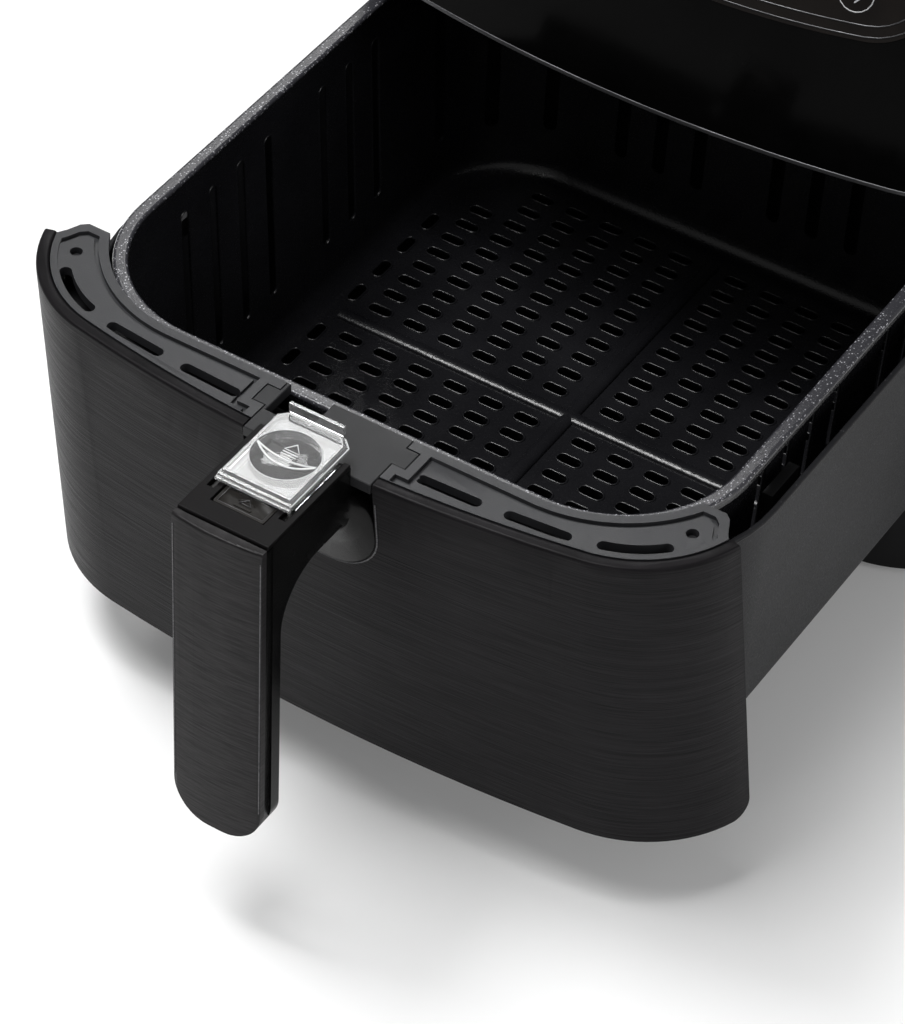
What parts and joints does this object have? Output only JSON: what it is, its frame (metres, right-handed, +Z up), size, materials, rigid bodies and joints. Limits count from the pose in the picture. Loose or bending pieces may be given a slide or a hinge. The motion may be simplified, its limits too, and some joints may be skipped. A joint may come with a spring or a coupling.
{
  "type": "air fryer",
  "caption": "Square-basket air fryer with a bowed pull-out drawer, slotted lift-out basket, upright grip with a guarded release button and a leaning touch fascia.",
  "frame": {"origin": "centre of the whole footprint with the drawer standing open, on the table top", "axes": "+Z up, -Y out of the front towards the cook, +X to the right of someone facing +Y"},
  "size_m": [0.2826, 0.5756, 0.336],
  "materials": {
    "brushed_black": "brushed black with fine level lines",
    "satin_grey": "fine satin charcoal",
    "matte_black": "fine matte black",
    "handle_black": "gloss black",
    "deck_black": "satin black",
    "button_gloss": "gloss black with a moulded lift mark",
    "gloss_black": "piano black",
    "touch_glass": "black glass with two thin border lines",
    "bright_trim": "bright edge",
    "clear_plastic": "clear moulded plastic",
    "pan_coating": "dark non-stick coating",
    "basket_coating": "speckled dark non-stick coating",
    "steel": "bright sheet steel",
    "dark_steel": "blackened steel",
    "element_sheath": "heat-darkened sheath",
    "fan_aluminium": "stamped aluminium",
    "laminations": "stacked laminations",
    "winding": "enamelled copper winding",
    "bearing_bronze": "sintered bronze",
    "circuit_board": "green solder mask",
    "silicone": "soft black silicone",
    "rubber": "matte black rubber"
  },
  "bodies": {
    "housing": {"base_plate": "matte_black", "base_screws": "dark_steel", "base_shell": "matte_black", "cavity_liner": "steel", "cord_gland": "rubber", "display_board": "circuit_board", "drawer_switch": "matte_black", "element_clips": "steel", "fan_guard": "steel", "fascia_strip": "bright_trim", "front_fascia": "gloss_black", "guide_rails": "matte_black", "heating_element": "element_sheath", "housing_shell": "matte_black", "lower_bearing": "bearing_bronze", "motor_bracket": "steel", "motor_bridge": "steel", "motor_coil": "winding", "motor_stator": "laminations", "mouth_frame": "matte_black", "power_board": "circuit_board", "rear_grille": "matte_black", "reflector": "steel", "rubber_feet": "rubber", "temperature_probe": "steel", "thermal_fuse": "matte_black", "top_cover": "matte_black", "touch_panel": "touch_glass", "upper_bearing": "bearing_bronze"},
    "guard": {"button_guard": "clear_plastic"},
    "button": {"release_button": "button_gloss"},
    "latch": {"latch_lever": "steel"},
    "plunger": {"switch_plunger": "matte_black"},
    "fan_rotor": {"convection_fan": "fan_aluminium", "motor_shaft": "steel", "fan_nut": "steel", "cooling_fan": "fan_aluminium", "rotor_core": "laminations"},
    "drawer": {"drawer_pan": "pan_coating", "drawer_front": "brushed_black", "front_frame": "matte_black", "pan_brackets": "steel", "basket": "basket_coating", "right_trim": "satin_grey", "left_trim": "satin_grey", "trim_screws": "dark_steel", "handle_plate": "satin_grey", "handle_strap": "steel", "handle_body": "handle_black", "grip_plate": "brushed_black", "handle_deck": "deck_black", "latch_pin": "steel", "latch_keeper": "steel", "strap_rivets": "steel", "basket_bumpers": "silicone", "button_spring": "steel"}
  },
  "joints": [
    {"name": "drawer_slide", "type": "slide", "parent": "housing", "child": "drawer", "axis": [0, -1, 0], "range_m": [-0.199, 0.1]},
    {"name": "guard_slide", "type": "slide", "parent": "drawer", "child": "guard", "axis": [0, 1, 0], "range_m": [0, 0.013]},
    {"name": "button_press", "type": "slide", "parent": "drawer", "child": "button", "axis": [0, 0, -1], "range_m": [0, 0.002], "stiffness_N_per_m": 300, "springref_m": -0.002, "deforming": ["button_spring"]},
    {"name": "latch_turn", "type": "hinge", "parent": "drawer", "child": "latch", "pos_m": [-0.0084, -0.2502, 0.167], "axis": [1, 0, 0], "range_deg": [0, 6.8]},
    {"name": "fan_spin", "type": "hinge", "parent": "housing", "child": "fan_rotor", "pos_m": [0, 0.1243, 0.216], "axis": [0, 0, 1], "continuous": true},
    {"name": "plunger_press", "type": "slide", "parent": "housing", "child": "plunger", "axis": [0, 1, 0], "range_m": [0, 0.002], "stiffness_N_per_m": 200, "springref_m": -0.001}
  ],
  "couplings": [
    {"joint": "latch_turn", "follows": "button_press", "rad_per_m": 58.82}
  ]
}
